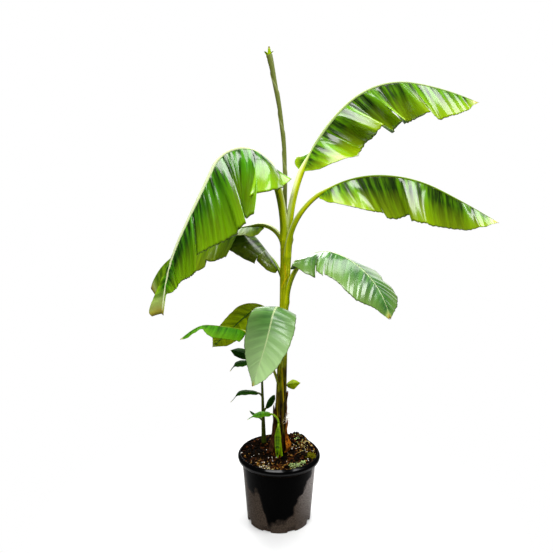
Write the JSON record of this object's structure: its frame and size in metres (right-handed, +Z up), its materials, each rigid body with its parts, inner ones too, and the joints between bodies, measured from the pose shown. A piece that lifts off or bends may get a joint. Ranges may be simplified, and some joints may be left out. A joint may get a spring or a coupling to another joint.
{
  "type": "potted banana plant",
  "caption": "Young hardy banana plant in a round nursery pot: pseudostem, stalked arching leaf blades with tears, a rolled spear leaf, dry sheaths and small suckers on filled soil.",
  "frame": {"origin": "centre of the pot's flat underside, on the floor", "axes": "+Z up along the plant's height; -Y is the pictured front; +X is to the right in the picture"},
  "size_m": [1.1336, 0.5356, 1.5603],
  "materials": {
    "pot": "moulded black polypropylene, satin to glossy, faint scuffs and drips",
    "soil": "moist bark potting mix with white perlite and a little moss",
    "stem": "olive-yellow green pseudostem of wrapped leaf sheaths, brown below",
    "stalk": "smooth yellow-green leaf stalks, channelled on top",
    "blade": "satin green leaf blades with fine parallel veins, paler rib and margins",
    "dry_sheath": "dry papery orange-brown leaf sheaths"
  },
  "bodies": {
    "root": {"blade_back_left": "blade", "blade_front": "blade", "blade_lower_right": "blade", "blade_middle_left": "blade", "blade_middle_right": "blade", "blade_narrow_left": "blade", "blade_turned_left": "blade", "blade_upper_left_inner": "blade", "blade_upper_left_outer": "blade", "blade_upper_right": "blade", "dry_sheath_left": "dry_sheath", "dry_sheath_right": "dry_sheath", "dry_sheath_upper_right": "dry_sheath", "pot": "pot", "pseudostem": "stem", "soil": "soil", "spear_leaf": "stalk", "stalk_back_left": "stalk", "stalk_front": "stalk", "stalk_lower_right": "stalk", "stalk_middle_left": "stalk", "stalk_middle_right": "stalk", "stalk_narrow_left": "stalk", "stalk_turned_left": "stalk", "stalk_upper_left": "stalk", "stalk_upper_right": "stalk", "sucker_back_leaf_right": "blade", "sucker_back_stem": "stem", "sucker_front_leaf_arched": "blade", "sucker_front_leaf_hanging": "blade", "sucker_front_stem": "stem", "sucker_left_leaf_arched": "blade", "sucker_left_leaf_dark": "blade", "sucker_left_leaf_right": "blade", "sucker_left_leaf_top": "blade", "sucker_left_leaf_upper": "blade", "sucker_left_stem": "stem"}
  },
  "joints": []
}
